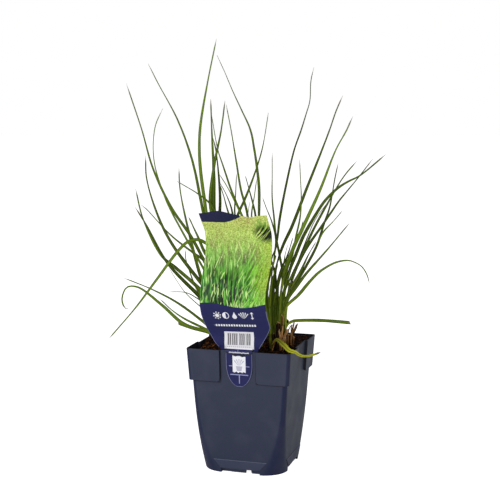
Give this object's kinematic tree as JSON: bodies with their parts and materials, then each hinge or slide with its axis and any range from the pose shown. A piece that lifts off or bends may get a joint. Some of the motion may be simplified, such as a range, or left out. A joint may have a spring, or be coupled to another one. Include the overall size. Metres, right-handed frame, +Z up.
{
  "type": "potted switchgrass",
  "caption": "Clump of narrow arching switchgrass leaves rooted in potting mix, in a square tapered nursery pot with a plastic plant label hooked on its rim; free-standing.",
  "frame": {"origin": "middle of the pot's base at the height of its feet, which is also the middle of the part's footprint", "axes": "+Z up along the pot's axis, -Y out of the side that the label hangs on, +X to the right seen from that side"},
  "size_m": [0.2608, 0.1906, 0.443],
  "materials": {
    "pot_plastic": "satin moulded dark blue-grey plastic",
    "potting_mix": "damp dark potting mix with bark bits",
    "printed_label": "thin printed plastic sheet",
    "grass_leaf": "waxy ribbed green leaf",
    "dead_straw": "dry weathered straw"
  },
  "bodies": {
    "root": {"pot": "pot_plastic", "soil": "potting_mix", "plant_label": "printed_label", "tiller_low_left": "grass_leaf", "tiller_left": "grass_leaf", "tiller_left_front": "grass_leaf", "tiller_back_left": "grass_leaf", "tiller_tall_left": "grass_leaf", "tiller_middle_left": "grass_leaf", "tiller_middle": "grass_leaf", "tiller_middle_right": "grass_leaf", "tiller_middle_back": "grass_leaf", "tiller_right_front": "grass_leaf", "tiller_right_inner": "grass_leaf", "tiller_right_bright": "grass_leaf", "tiller_right_middle": "grass_leaf", "tiller_right_inner_low": "grass_leaf", "tiller_right_tall": "grass_leaf", "tiller_right_low": "grass_leaf", "tiller_right_wide": "grass_leaf", "tiller_right_back": "grass_leaf", "tiller_far_right": "grass_leaf", "tiller_right_arching": "grass_leaf", "tiller_over_rim": "grass_leaf", "tiller_back": "grass_leaf", "tiller_far_back": "grass_leaf", "straw_stubble_right": "dead_straw", "straw_stubble_front": "dead_straw"}
  },
  "joints": []
}
